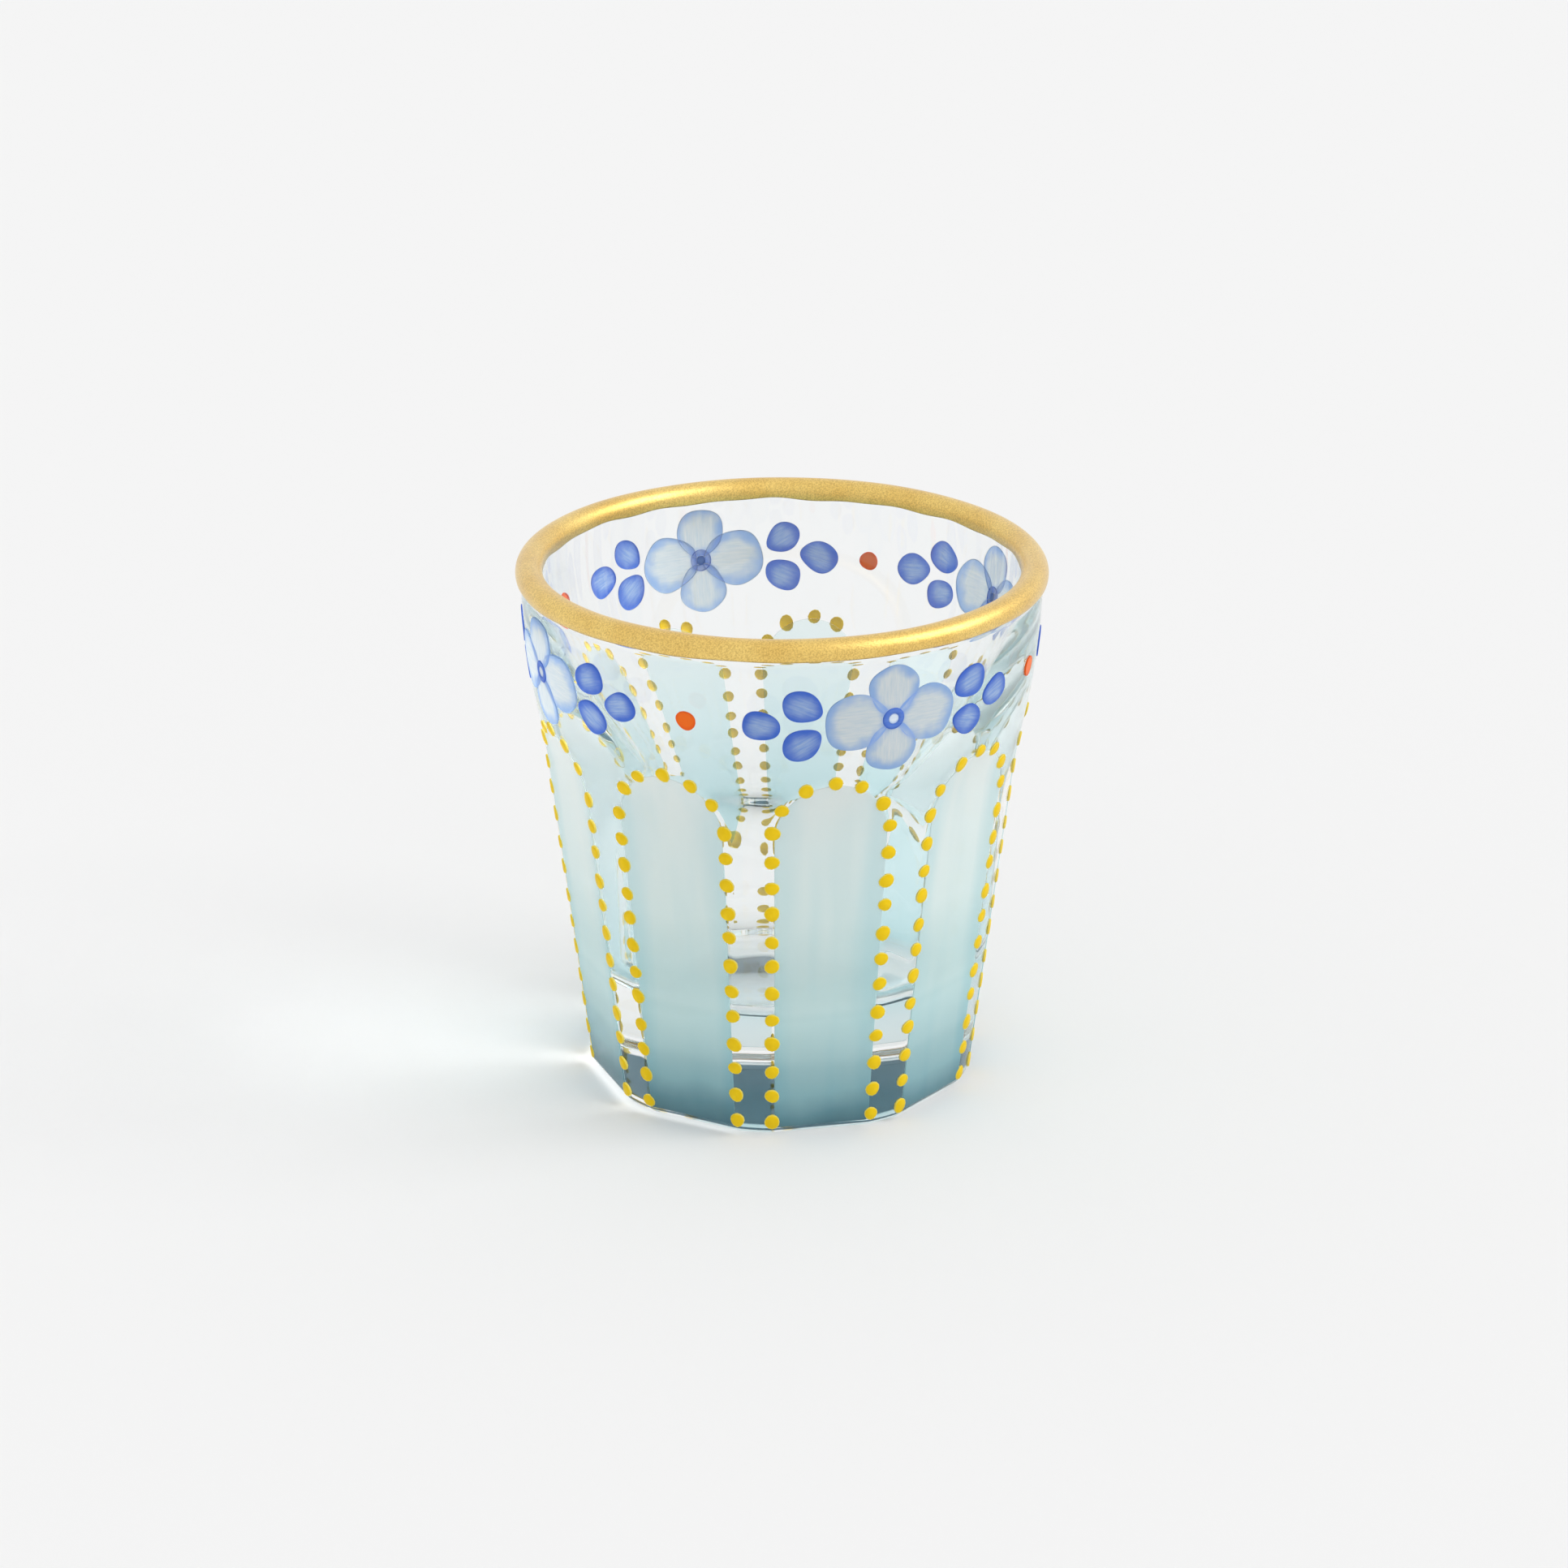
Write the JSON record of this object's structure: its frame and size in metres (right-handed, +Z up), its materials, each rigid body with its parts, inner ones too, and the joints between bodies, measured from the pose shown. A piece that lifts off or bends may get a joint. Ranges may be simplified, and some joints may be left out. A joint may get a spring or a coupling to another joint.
{
  "type": "tea glass",
  "caption": "Small flared tea glass of pressed clear glass with scooped arched panels, frosted pale blue coats, painted dot borders and flowers, and a gilded lip.",
  "frame": {"origin": "middle of the foot, on the table", "axes": "+Z up along the axis of the glass, -Y towards the side seen in the picture, +X to the right in that view"},
  "size_m": [0.067, 0.067, 0.0688],
  "materials": {
    "clear_glass": "clear pressed glass, fire polished",
    "gold": "satin gold with a fine grain",
    "frost": "frosted translucent pale blue enamel",
    "yellow_enamel": "raised gloss enamel",
    "petal_enamel": "thin brushed translucent enamel",
    "blue_enamel": "brushed gloss enamel",
    "heart_enamel": "pale gloss enamel",
    "orange_enamel": "raised gloss enamel"
  },
  "bodies": {
    "root": {"glass_body": "clear_glass", "gilded_rim": "gold", "frosted_panel_1": "frost", "frosted_panel_2": "frost", "frosted_panel_3": "frost", "frosted_panel_4": "frost", "frosted_panel_5": "frost", "frosted_panel_6": "frost", "frosted_panel_7": "frost", "frosted_panel_8": "frost", "frosted_panel_9": "frost", "dot_border_1": "yellow_enamel", "dot_border_2": "yellow_enamel", "dot_border_3": "yellow_enamel", "dot_border_4": "yellow_enamel", "dot_border_5": "yellow_enamel", "dot_border_6": "yellow_enamel", "dot_border_7": "yellow_enamel", "dot_border_8": "yellow_enamel", "dot_border_9": "yellow_enamel", "flower_petals_1": "petal_enamel", "flower_petals_2": "petal_enamel", "flower_petals_3": "petal_enamel", "flower_petals_4": "petal_enamel", "flower_ring_1": "blue_enamel", "flower_ring_2": "blue_enamel", "flower_ring_3": "blue_enamel", "flower_ring_4": "blue_enamel", "flower_heart_1": "heart_enamel", "flower_heart_2": "heart_enamel", "flower_heart_3": "heart_enamel", "flower_heart_4": "heart_enamel", "leaf_trio_1": "blue_enamel", "leaf_trio_2": "blue_enamel", "leaf_trio_3": "blue_enamel", "leaf_trio_4": "blue_enamel", "leaf_trio_5": "blue_enamel", "leaf_trio_6": "blue_enamel", "leaf_trio_7": "blue_enamel", "leaf_trio_8": "blue_enamel", "orange_dot_1": "orange_enamel", "orange_dot_2": "orange_enamel", "orange_dot_3": "orange_enamel", "orange_dot_4": "orange_enamel"}
  },
  "joints": []
}
